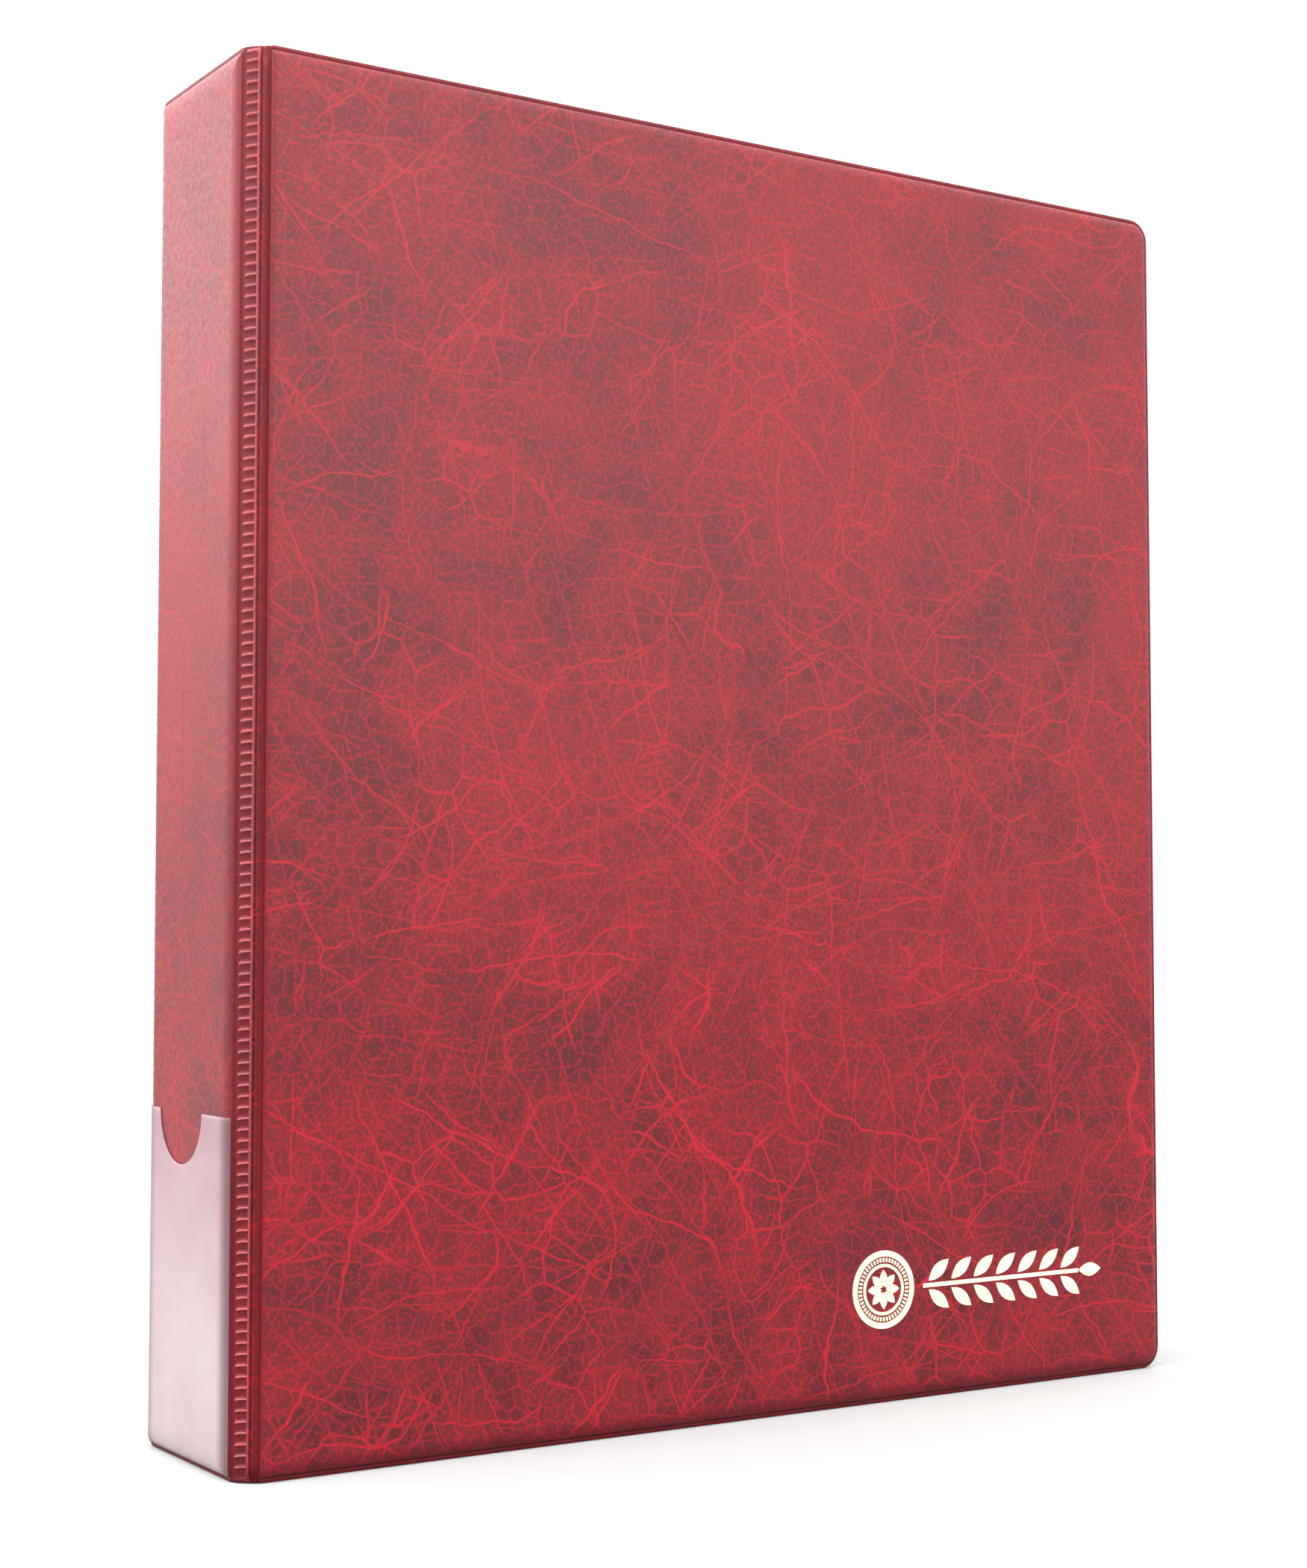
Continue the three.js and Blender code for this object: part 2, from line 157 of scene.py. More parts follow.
class Graph:
    """Short calls that add and link shader nodes."""

    def __init__(self, tree):
        self.tree = tree
        self.shader = tree.nodes["Principled BSDF"]

    def node(self, kind, inputs=None, **settings):
        """Add a node. inputs are values, or sockets to link; settings are its own properties."""
        made = self.tree.nodes.new(kind)
        for key, value in settings.items():
            setattr(made, key, value)
        for key, value in (inputs or {}).items():
            self.feed(made.inputs[key], value)
        return made

    def feed(self, socket, value):
        """Link the value if it is a socket, else set it."""
        if isinstance(value, bpy.types.NodeSocket):
            self.tree.links.new(value, socket)
        else:
            socket.default_value = value

    def math(self, operation, *values):
        made = self.node("ShaderNodeMath", operation=operation)
        for socket, value in zip(made.inputs, values):
            self.feed(socket, value)
        return made.outputs[0]

    def vector(self, operation, *values):
        made = self.node("ShaderNodeVectorMath", operation=operation)
        for socket, value in zip(made.inputs, values):
            self.feed(socket, value)
        return made.outputs[0]

    def noise(self, vector, scale, detail=2.0, roughness=0.5, output="Factor", space="3D"):
        inputs = {"Vector": vector, "Scale": scale, "Detail": detail, "Roughness": roughness}
        made = self.node("ShaderNodeTexNoise", inputs, noise_dimensions=space)
        return made.outputs[0 if output == "Factor" else 1]

    def cell_edge(self, vector, scale, space="3D"):
        """Distance to the nearest wall between cells."""
        inputs = {"Vector": vector, "Scale": scale}
        settings = {"feature": "DISTANCE_TO_EDGE", "voronoi_dimensions": space}
        return self.node("ShaderNodeTexVoronoi", inputs, **settings).outputs["Distance"]

    def shifted(self, vector, scale, amount):
        """Flat coordinates pushed about by a noise."""
        wobble = self.noise(vector, scale, 1.0, output="Color", space="2D")
        push = self.vector("SUBTRACT", wobble, (0.5, 0.5, 0.5))
        push = self.node("ShaderNodeVectorMath", {0: push, 3: amount}, operation="SCALE").outputs[0]
        return self.vector("ADD", vector, push)

    def ramp(self, value, low, high, to_low=0.0, to_high=1.0):
        """A smooth ramp from to_low at low to to_high at high."""
        inputs = {"Value": value, "From Min": low, "From Max": high, "To Min": to_low, "To Max": to_high}
        return self.node("ShaderNodeMapRange", inputs, interpolation_type="SMOOTHSTEP").outputs[0]

    def mix(self, factor, first, second):
        made = self.node("ShaderNodeMix", data_type="RGBA")
        self.feed(made.inputs["Factor"], factor)
        self.feed(made.inputs[6], first)
        self.feed(made.inputs[7], second)
        return made.outputs[2]

    def bump(self, height, distance, strength):
        inputs = {"Height": height, "Distance": distance, "Strength": strength}
        return self.node("ShaderNodeBump", inputs).outputs[0]

    def set(self, **values):
        """Feed the shader's inputs, with _ for each space in a name."""
        for key, value in values.items():
            self.feed(self.shader.inputs[key.replace("_", " ")], value)


def rgb(r, g, b):
    """An sRGB colour, 0 to 255, as linear RGBA."""
    def linear(c):
        c /= 255
        return c / 12.92 if c <= 0.04045 else ((c + 0.055) / 1.055) ** 2.4
    return (linear(r), linear(g), linear(b), 1.0)


# ---------------------------------------------------------------- materials
LONG_VEINS = [  # lean in degrees, spacing in mm, strength
    (14, 19, 1.0), (47, 25, 0.9), (71, 16, 0.95), (103, 22, 0.9), (131, 17, 1.0), (164, 23, 0.85),
]
SHORT_VEINS = [(28, 8.5, 0.70), (88, 7.5, 0.60), (146, 8, 0.65)]
LONG_VEIN_HALF, SHORT_VEIN_HALF = 0.36, 0.27  # half widths in mm


def vein_family(g, sheet, vein, sway, half_width, fade):
    """Long lines of even width that lean one way, sway, and fade in and out."""
    lean, spacing, strength = vein
    turn = math.radians(lean)
    across = g.node("ShaderNodeVectorMath", {0: sheet, 1: (math.cos(turn), math.sin(turn), 0)},
                    operation="DOT_PRODUCT").outputs["Value"]
    count = g.math("ADD", g.math("DIVIDE", across, spacing * MM), sway)
    off_line = g.math("ABSOLUTE", g.math("SUBTRACT", g.math("FRACT", count), 0.5))
    share = half_width / spacing
    line = g.ramp(off_line, share * 0.2, share, strength, 0.0)
    return g.math("MULTIPLY", line, fade)


def colour_channels(g, place, scale, low, high, to_low, to_high):
    """Three unlike noises in one, each ramped."""
    patch = g.noise(place, scale, 1.0, output="Color", space="2D")
    channels = g.node("ShaderNodeSeparateXYZ", {0: patch}).outputs
    return [g.ramp(channel, low, high, to_low, to_high) for channel in channels]


def strongest(g, values):
    """The highest of several values at each point."""
    best = values[0]
    for value in values[1:]:
        best = g.math("MAXIMUM", best, value)
    return best


def unrolled_sheet(g, axes):
    """Coordinates on the one sheet wrapped round the spine: along x, then -y, then back along -x."""
    way = g.ramp(axes[1], DEPTH / 2 - 8 * MM, DEPTH / 2 - 0.5 * MM, 1.0, -1.0)
    from_spine = g.math("SUBTRACT", axes[0], SPINE_X)
    unrolled = g.math("SUBTRACT", g.math("MULTIPLY", from_spine, way), axes[1])
    return g.node("ShaderNodeCombineXYZ", {0: unrolled, 1: axes[2]}).outputs[0]


def print_veins(g, sheet, print_space):
    """Every layer of the vein print: long and short lines, a patchy net and a fine net."""
    sways = colour_channels(g, sheet, 11.0, 0.25, 0.75, -0.65, 0.65)
    sways += colour_channels(g, sheet, 13.0, 0.25, 0.75, -0.55, 0.55)
    fades = colour_channels(g, sheet, 31.0, 0.43, 0.64, 0.04, 1.0)
    fades += colour_channels(g, sheet, 40.0, 0.43, 0.64, 0.04, 1.0)
    veins = [
        vein_family(g, print_space, vein, sway, LONG_VEIN_HALF, fade)
        for vein, sway, fade in zip(LONG_VEINS, sways, fades)
    ]
    veins += [
        vein_family(g, print_space, vein, sway, SHORT_VEIN_HALF, fade)
        for vein, sway, fade in zip(SHORT_VEINS, sways[::2], fades[1::2])
    ]
    net = g.ramp(g.cell_edge(print_space, 98.0, "2D"), 0.006, 0.040, 0.85, 0.0)
    veins.append(g.math("MULTIPLY", net, fades[4]))
    veins.append(g.ramp(g.cell_edge(print_space, 240.0, "2D"), 0.01, 0.09, 0.36, 0.0))
    return veins


def mottled_maroon(g, sheet, print_space, up):
    """The ground of the print: clouds, blotches and specks, with painted shade darkening it towards the
    foot.
    """
    cloud = g.ramp(g.noise(sheet, 15.0, 3.0, 0.6, space="2D"), 0.34, 0.66)
    blotch = g.ramp(g.noise(print_space, 70.0, 3.0, 0.6, space="2D"), 0.36, 0.66)
    speck = g.noise(sheet, 1150.0, 2.0, 0.6, space="2D")
    body = g.mix(cloud, rgb(84, 28, 32), rgb(122, 27, 37))
    # Painted shade: the ground darkens towards the foot, where less light reaches the cover.
    body = g.mix(g.ramp(up, 0.0, HEIGHT * 0.75, 0.50, 0.0), body, rgb(70, 16, 26))
    body = g.mix(g.math("MULTIPLY", blotch, 0.50), body, rgb(136, 26, 38))
    body = g.mix(g.ramp(speck, 0.42, 0.66, 0.0, 0.55), body, rgb(72, 36, 32))
    return g.mix(g.ramp(speck, 0.32, 0.47, 0.40, 0.0), body, rgb(164, 30, 48))


def painted_sheen(g, colour, on_spine, up):
    """Painted sheen: a pale veil of reflected light, strongest on the spine and towards the top."""
    # Painted sheen towards the top, where the overhead light reflects.
    top_sheen = g.ramp(up, HEIGHT * 0.15, HEIGHT * 0.75, 0.0, 0.13)
    colour = g.mix(top_sheen, colour, rgb(150, 100, 102))
    # Painted sheen over the spine, paler towards the top.
    spine_sheen = g.math("MULTIPLY", on_spine, g.ramp(up, 0.0, HEIGHT * 0.9, 0.04, 0.16))
    return g.mix(spine_sheen, colour, rgb(196, 116, 118))


def shade_and_highlight(g, colour, up):
    """Painted shade in sunk places, a painted highlight on raised ones, and painted shade along the foot.
    """
    relief = g.node("ShaderNodeAttribute", attribute_name="relief").outputs["Fac"]
    # Painted shade in sunk places: grooves, welds and the sides of the hinges.
    colour = g.mix(g.math("MAXIMUM", g.math("MULTIPLY", relief, -0.85), 0.0), colour, rgb(86, 2, 12))
    # Painted highlight on raised places: the rungs and the bead.
    raised_highlight = g.math("MAXIMUM", g.math("MULTIPLY", relief, 0.6), 0.0)
    colour = g.mix(raised_highlight, colour, rgb(206, 112, 116))
    # Painted shade along the foot, close to the floor.
    return g.mix(g.ramp(up, 0.8 * MM, 5 * MM, 0.75, 0.0), colour, rgb(76, 4, 16))


def marbled_vinyl():
    """Burgundy vinyl printed like hide: thin red veins crossing over mottled maroon, fine pebble grain."""
    material, tree = new_material("marbled_vinyl")
    g = Graph(tree)
    coordinates = g.node("ShaderNodeTexCoord").outputs["Object"]
    axes = g.node("ShaderNodeSeparateXYZ", {0: coordinates}).outputs
    up = axes[2]
    sheet = unrolled_sheet(g, axes)
    print_space = g.shifted(g.shifted(sheet, 70.0, 3.6 * MM), 260.0, 1.3 * MM)
    veins = print_veins(g, sheet, print_space)
    # The print is bolder towards the foot of the album and faint on the spine, which is rubbed.
    on_spine = g.ramp(axes[0], SPINE_X + 1.2 * MM, SPINE_X + 4 * MM, 1.0, 0.0)
    faint = g.math("SUBTRACT", 1.0, g.math("MULTIPLY", on_spine, 0.45))
    boldness = g.math("MULTIPLY", g.ramp(up, 0.0, HEIGHT, 0.78, 0.62), faint)
    veins = g.math("MULTIPLY", strongest(g, veins), boldness)
    colour = g.mix(veins, mottled_maroon(g, sheet, print_space, up), rgb(178, 25, 42))
    # Painted sheen, then painted shade and highlight from the relief and along the foot.
    colour = shade_and_highlight(g, painted_sheen(g, colour, on_spine, up), up)

    pebble = g.noise(sheet, 700.0, 3.0, 0.6, space="2D")
    height = g.math("SUBTRACT", g.math("MULTIPLY", pebble, 0.35), g.math("MULTIPLY", veins, 0.35))
    g.set(Base_Color=colour, Roughness=g.ramp(pebble, 0.3, 0.7, 0.36, 0.50))
    g.set(Normal=g.bump(height, 0.10 * MM, 0.6))
    g.shader.inputs["Specular IOR Level"].default_value = 0.18
    return material


def lining_vinyl():
    """Plain dark vinyl with a fine pebble grain."""
    material, tree = new_material("lining_vinyl")
    g = Graph(tree)
    coordinates = g.node("ShaderNodeTexCoord").outputs["Object"]
    pebble = g.cell_edge(coordinates, 1100.0)
    cloud = g.noise(coordinates, 40.0, 3.0)
    colour = g.mix(g.ramp(cloud, 0.3, 0.7), rgb(84, 16, 26), rgb(104, 22, 34))
    g.set(Base_Color=colour, Roughness=g.ramp(cloud, 0.3, 0.7, 0.50, 0.62))
    g.set(Normal=g.bump(g.ramp(pebble, 0.0, 0.3), 0.1 * MM, 0.6))
    g.shader.inputs["Specular IOR Level"].default_value = 0.3
    return material


def greyboard():
    """Raw pressed board with fibres."""
    material, tree = new_material("greyboard")
    g = Graph(tree)
    coordinates = g.node("ShaderNodeTexCoord").outputs["Object"]
    fibres = g.noise(coordinates, 700.0, 4.0, 0.7)
    colour = g.mix(g.ramp(fibres, 0.3, 0.7), rgb(122, 112, 98), rgb(158, 148, 132))
    g.set(Base_Color=colour, Roughness=0.95, Normal=g.bump(fibres, 0.1 * MM, 0.5))
    return material


def clear_film():
    """Hazy clear film with a painted reflection of the floor towards its foot and painted shade at its
    sides.
    """
    material, tree = new_material("clear_film")
    g = Graph(tree)
    coordinates = g.node("ShaderNodeTexCoord").outputs["Object"]
    axes = g.node("ShaderNodeSeparateXYZ", {0: coordinates}).outputs
    haze = g.noise(coordinates, 45.0, 3.0, 0.6)
    # Painted reflection of the pale floor: more opaque and paler towards the foot.
    alpha = g.math("ADD", g.ramp(haze, 0.3, 0.7, 0.0, 0.05), g.ramp(axes[2], 0.0, FILM_TOP, 0.60, 0.54))
    colour = g.mix(g.ramp(axes[2], FILM_TOP * 0.25, FILM_TOP), rgb(193, 174, 175), rgb(176, 139, 146))
    colour = g.mix(g.ramp(haze, 0.3, 0.7, 0.0, 0.25), colour, rgb(204, 192, 195))
    # Painted shade at the film's sides, where they are welded down and turn into the grooves.
    welded = g.ramp(g.math("ABSOLUTE", axes[1]), SPINE_HIGH.y - 5 * MM, SPINE_HIGH.y - 0.3 * MM, 0.0, 0.85)
    colour = g.mix(welded, colour, rgb(104, 62, 74))
    g.set(Base_Color=colour, Roughness=0.34)
    g.set(Alpha=alpha, Normal=g.bump(haze, 0.6 * MM, 0.15))
    return material


def page_film():
    """Soft clear plastic of the coin pages: clear pockets, milky welds and a milky binding strip."""
    material, tree = new_material("page_film")
    g = Graph(tree)
    coordinates = g.node("ShaderNodeTexCoord").outputs["Object"]
    ripple = g.noise(coordinates, 28.0, 1.0, 0.4)
    cloud = g.noise(coordinates, 160.0, 3.0, 0.6)
    weld = g.node("ShaderNodeAttribute", attribute_name="relief").outputs["Fac"]
    alpha = g.math("ADD", g.math("MULTIPLY", weld, 0.36), g.ramp(cloud, 0.3, 0.7, 0.20, 0.27))
    clear = g.mix(ripple, rgb(184, 192, 198), rgb(200, 207, 212))
    g.set(Base_Color=g.mix(g.math("MINIMUM", weld, 1.0), clear, rgb(188, 193, 198)), Roughness=0.14)
    g.set(Alpha=alpha, Normal=g.bump(ripple, 0.4 * MM, 0.25))
    return material


def nickel():
    """Satin nickel plate with faint drawing lines along the mechanism and light tarnish."""
    material, tree = new_material("nickel")
    g = Graph(tree)
    coordinates = g.node("ShaderNodeTexCoord").outputs["Object"]
    drawn = g.node("ShaderNodeMapping", {"Vector": coordinates, "Scale": (1.0, 1.0, 0.03)}).outputs[0]
    lines = g.noise(drawn, 2600.0, 2.0, 0.6)
    tarnish = g.noise(coordinates, 70.0, 3.0, 0.6)
    colour = g.mix(g.ramp(tarnish, 0.4, 0.75), rgb(152, 150, 145), rgb(126, 122, 114))
    g.set(Base_Color=colour, Metallic=1.0, Roughness=g.ramp(lines, 0.3, 0.7, 0.28, 0.44))
    g.set(Normal=g.bump(lines, 0.02 * MM, 0.4))
    return material


def gold_foil():
    """Pale gold stamping foil, with a little wear."""
    material, tree = new_material("gold_foil")
    g = Graph(tree)
    coordinates = g.node("ShaderNodeTexCoord").outputs["Object"]
    wear = g.noise(coordinates, 900.0, 3.0, 0.7)
    g.set(Base_Color=g.mix(g.ramp(wear, 0.35, 0.7), rgb(252, 243, 212), rgb(241, 224, 174)))
    g.set(Metallic=0.25, Roughness=g.ramp(wear, 0.3, 0.7, 0.32, 0.5), Normal=g.bump(wear, 0.03 * MM, 0.5))
    return material


VINYL = marbled_vinyl()
LINING = lining_vinyl()
BOARD = greyboard()
FILM = clear_film()
PAGE = page_film()
NICKEL = nickel()
GOLD = gold_foil()


# ---------------------------------------------------------------- panels
def rounded_loop(low_a, high_a, low_z, high_z, radius_low, radius_high, counts):
    """Points round a rectangle in (a, z), with its own corner radius at each end of a.
    counts gives the number of steps along each straight side."""
    corners = [
        (low_a + radius_low, low_z + radius_low, radius_low, 2),
        (high_a - radius_high, low_z + radius_high, radius_high, 3),
        (high_a - radius_high, high_z - radius_high, radius_high, 0),
        (low_a + radius_low, high_z - radius_low, radius_low, 1),
    ]
    arcs = []
    for a, z, radius, quarter in corners:
        arcs.append([
            (a + radius * math.cos(turn), z + radius * math.sin(turn))
            for turn in ((quarter + i / 6) * math.pi / 2 for i in range(7))
        ])
    points = []
    for arc, following, count in zip(arcs, arcs[1:] + arcs[:1], counts):
        points += arc
        start, end = arc[-1], following[0]
        for i in range(1, count):
            t = i / count
            points.append((start[0] + (end[0] - start[0]) * t, start[1] + (end[1] - start[1]) * t))
    return points


def skin_profile(shoulder_free, shoulder_hinge, weld_hinge, width):
    """The outer surface from the welded edge to the middle: (free margin, hinge margin, depth)."""
    rim = WELD_DEPTH - SKIN
    rows = [
        (0.0, 0.0, WELD_DEPTH - WELD_GAP),
        (0.0, 0.0, rim + 0.12 * MM),
        (0.12 * MM, 0.05 * MM, rim),
        (0.62 * MM, 0.6 * weld_hinge, rim),
        (0.80 * MM, 0.8 * weld_hinge, rim + 0.10 * MM),
        (1.00 * MM, weld_hinge, rim + 0.02 * MM),
    ]
    steps = 9
    for i in range(1, steps + 1):
        turn = i / steps * math.pi / 2
        out, rise = 1 - math.cos(turn), math.sin(turn)
        free, hinge = 1.00 * MM + shoulder_free * out, weld_hinge + shoulder_hinge * out
        rows.append((free, hinge, rim * (1 - rise)))
    spread = [0.06, 0.15, 0.28, 0.45, 0.65, 0.86]
    edge_free, edge_hinge, _ = rows[-1]
    for share in spread:
        rows.append((edge_free + share * width, edge_hinge + share * width, 0.0))
    return rows


def edge_shade_tones(count):
    """Relief along the profile, (free, hinge) edges: painted shade in the weld and painted shade fading
    from a hinge.
    """
    free = [-0.6, -0.6, -0.4, -0.5, -1.0, -1.0, -0.6, -0.3]
    hinge = [-1.0] * 6 + [-0.9, -0.75, -0.6, -0.48, -0.38, -0.28, -0.2, -0.12, -0.05]
    return [
        tuple(tones[i] if i < len(tones) else 0.0 for tones in (free, hinge))
        for i in range(count)
    ]


def panel_skin(name, material, place, size, corner_low, corner_high, shoulders, wave):
    """A welded vinyl skin. place(a, z, depth) gives a point; a runs from the hinge edge, z is up.
    The skin waves by up to wave, away from its edges."""
    width, height, high_is_hinge = size
    shoulder_free, shoulder_hinge, weld_hinge = shoulders
    reach = min(width, height) / 2 - 1.4 * MM - max(shoulder_free, shoulder_hinge)
    profile = skin_profile(shoulder_free, shoulder_hinge, weld_hinge, reach)
    count_a, count_z = max(4, round(width / (6 * MM))), round(height / (6 * MM))
    rows, relief = [], []

    def row(free, hinge, depth, inward, tones=(0.0, 0.0)):
        """Add one loop of points at these margins and this depth, with its relief."""
        high = hinge if high_is_hinge else free
        low_radius = max(0.3 * MM, corner_low - free)
        high_radius = max(0.3 * MM, corner_high - free)
        outline = rounded_loop(
            hinge + inward, width - high - inward, free + inward, height - free - inward,
            low_radius, high_radius, [count_a, count_z, count_a, count_z],
        )
        lift = smoothstep((free - 2 * MM) / (12 * MM)) if depth <= 1e-9 else 0.0
        made = []
        for a, z in outline:
            ripple = wave * lift * noise.noise(Vector((a * 22, z * 22, wave * 1e4)))
            made.append(place(a, z, depth - ripple))
            from_hinge = min(a - hinge, width - high - a) if high_is_hinge else a - hinge
            by_hinge = from_hinge < inward + 0.01 * MM
            relief.append(tones[1] if by_hinge else tones[0])
        rows.append(made)

    for (free, hinge, depth), tones in zip(profile, edge_shade_tones(len(profile))):
        row(free, hinge, depth, 0.0, tones)
    outer = len(rows)
    for free, hinge, depth in reversed(profile[6:]):
        row(free, hinge, depth + SKIN, SKIN_INSET if depth > 0 else 0.0)
    free, hinge, _ = profile[5]
    row(free, hinge, WELD_DEPTH - WELD_GAP, SKIN_INSET)
    columns = len(rows[0])
    faces = stitch(len(rows), columns, True)
    last = (len(rows) - 1) * columns
    faces += [(last + c, last + (c + 1) % columns, (c + 1) % columns, c) for c in range(columns)]
    # The two innermost loops meet at the panel's middle, so each is filled by one face.
    middle = (outer - 1) * columns
    faces = [f for f in faces if not (middle in f and middle + columns in f)]
    faces = [f for f in faces if not (min(f) // columns == outer - 1 and max(f) // columns == outer)]
    faces.append(tuple(range(middle, middle + columns)))
    faces.append(tuple(range(middle + columns, middle + 2 * columns)))
    return add_object(name, [p for r in rows for p in r], faces, material, relief=relief)


def cover_place(side, inner=False):
    """From panel coordinates to the shared frame, for the front (-1) or back (+1) cover."""
    def place(a, z, depth):
        from_face = PANEL - depth if inner else depth
        return Vector((SPINE_X + PANEL_START + a, side * (DEPTH / 2 - from_face), z))
    return place


def spine_place(inner=False):
    """From panel coordinates to the shared frame, for the spine."""
    def place(a, z, depth):
        from_face = PANEL - depth if inner else depth
        return Vector((SPINE_X + from_face, SPINE_LOW.y + a, z))
    return place


def make_cover(side, word):
    """The outer skin of a cover and its lining, welded round the board."""
    size = (COVER_WIDTH - PANEL_START, HEIGHT, False)
    outer = panel_skin(
        f"{word}_cover_vinyl", VINYL, cover_place(side), size, 1 * MM, CORNER,
        (2.4 * MM, 1.1 * MM, 0.1 * MM), 0.16 * MM,
    )
    inner = panel_skin(
        f"{word}_cover_lining_vinyl", LINING, cover_place(side, True), size, 1 * MM, CORNER,
        (1.8 * MM, 1.2 * MM, 0.4 * MM), 0.08 * MM,
    )
    for piece, node, slot in [(outer, "outer_skin", "marbled_vinyl"), (inner, "lining", "lining_vinyl")]:
        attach(piece, f"{word}_cover")
        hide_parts(f"{word}_cover_{node}")


def make_spine():
    """The outer skin of the spine and its lining, welded round the board."""
    size = (SPINE_HIGH.y - SPINE_LOW.y, HEIGHT, True)
    outer = panel_skin(
        "spine_vinyl", VINYL, spine_place(), size, SPINE_CORNER, SPINE_CORNER,
        (4.4 * MM, 3.2 * MM, 0.2 * MM), 0.05 * MM,
    )
    inner = panel_skin(
        "spine_lining_vinyl", LINING, spine_place(True), size, SPINE_CORNER, SPINE_CORNER,
        (1.8 * MM, 2.2 * MM, 0.4 * MM), 0.0,
    )
    for piece, node, slot in [(outer, "outer_skin", "marbled_vinyl"), (inner, "lining", "lining_vinyl")]:
        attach(piece, "spine")
        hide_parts(f"spine_{node}")


# ---------------------------------------------------------------- hinges
HINGE_CENTRE = (CREASE + WELD_DEPTH) / 2  # middle of the strip between the creases, from the corner
HALF_STRIP = 0.4 * MM
FLANGE = WELD_DEPTH - HALF_STRIP + 0.02 * MM  # depth of the strip's outer face inside a weld
INNER_FLANGE = WELD_DEPTH + HALF_STRIP - 0.02 * MM
STRIP_FOOT, STRIP_HEIGHT = 0.3 * MM, HEIGHT - 0.6 * MM  # a strip stops just short of both ends
DIAGONAL = math.sqrt(0.5)


def strip_point(across, out):
    """(u, v) from the outside corner; across runs towards the cover, out towards the corner."""
    return (
        HINGE_CENTRE + (across - out) * DIAGONAL,
        HINGE_CENTRE - (across + out) * DIAGONAL,
    )


def hinge_to_frame(side, u, v, z):
    """From (u, v), measured in from an outside corner, to the shared frame."""
    return Vector((SPINE_X + u, side * (DEPTH / 2 - v), z))


def prism_skin(name, side, outer, inner, heights, surface):
    """A strip of vinyl: its outer and inner lines in (u, v), carried up through the heights.
    surface(i, z) gives the outer line's rise there, and its relief for the material."""
    line = outer + inner
    verts, reliefs = [], []
    for z in heights:
        for i, (u, v) in enumerate(line):
            rise, relief = surface(i, z) if i < len(outer) else (0.0, 0.0)
            verts.append(hinge_to_frame(side, u - rise * DIAGONAL, v - rise * DIAGONAL, z))
            reliefs.append(relief)
    count = len(line)
    faces = stitch(len(heights), count, True)
    faces.append(tuple(range(count)))
    faces.append(tuple(range((len(heights) - 1) * count, len(heights) * count)))
    return add_object(name, verts, faces, VINYL, relief=reliefs)


def make_ladder(side, word):
    """The spine side of a hinge: groove, embossed ladder and the bead beside it."""
    ladder_low, ladder_high = -1.95 * MM, 0.40 * MM
    bead_middle, bead_half = 0.70 * MM, 0.42 * MM
    across = [w * MM for w in (-1.95, -1.8, -1.6, -1.35, -1.0, -0.6, -0.2, 0.1, 0.28)]
    across += [bead_middle + bead_half * t for t in (-1, -0.7, -0.35, 0, 0.35, 0.7, 1)]
    groove = [(FLANGE, 5.3 * MM), (FLANGE, 4.95 * MM), (1.28 * MM, 4.75 * MM), (1.32 * MM, 4.50 * MM)]
    outer = groove + [strip_point(w, HALF_STRIP) for w in across]
    inner = [strip_point(w, -HALF_STRIP) for w in (across[-1], 0.0, -1.2 * MM, -1.9 * MM)]
    inner += [(INNER_FLANGE, 4.9 * MM), (INNER_FLANGE, 5.3 * MM)]
    step = RUNG_PITCH / 12
    heights = [STRIP_FOOT + step * i for i in range(int(STRIP_HEIGHT / step) + 1)]

    def surface(i, z):
        # Relief for the material: painted shade in the groove and between the rungs, a painted highlight on
        # the rungs and the bead.
        if i < len(groove):
            return 0.0, -0.7 - 0.1 * i
        w = across[i - len(groove)]
        ends = smoothstep((z - 0.8 * MM) / (1.2 * MM))
        ends *= smoothstep((HEIGHT - 0.8 * MM - z) / (1.2 * MM))
        arch = 0.30 * MM * ((w - ladder_high) / (ladder_high - ladder_low)) ** 2
        offset = (z + arch) / RUNG_PITCH % 1.0 - 0.5
        rung = math.exp(-((offset * RUNG_PITCH / RUNG_HALF) ** 2))
        on_ladder = smoothstep((w - ladder_low) / (0.15 * MM))
        on_ladder *= 1 - smoothstep((w - ladder_high) / (0.4 * MM))
        bead = max(0.0, 1 - ((w - bead_middle) / bead_half) ** 2) ** 0.7
        rise = ends * max(RUNG_RISE * rung * on_ladder, BEAD_RISE * bead * (0.9 + 0.1 * rung))
        return rise, -0.8 + 1.8 * max(rung * on_ladder, bead**2 * 0.65)

    piece = prism_skin(f"{word}_hinge_ladder", side, outer, inner, heights, surface)
    start = hinge_to_frame(side, 1.5 * MM, 4.95 * MM, 0)
    end = hinge_to_frame(side, 1.75 * MM, 4.25 * MM, 0)
    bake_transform(piece)
    return piece


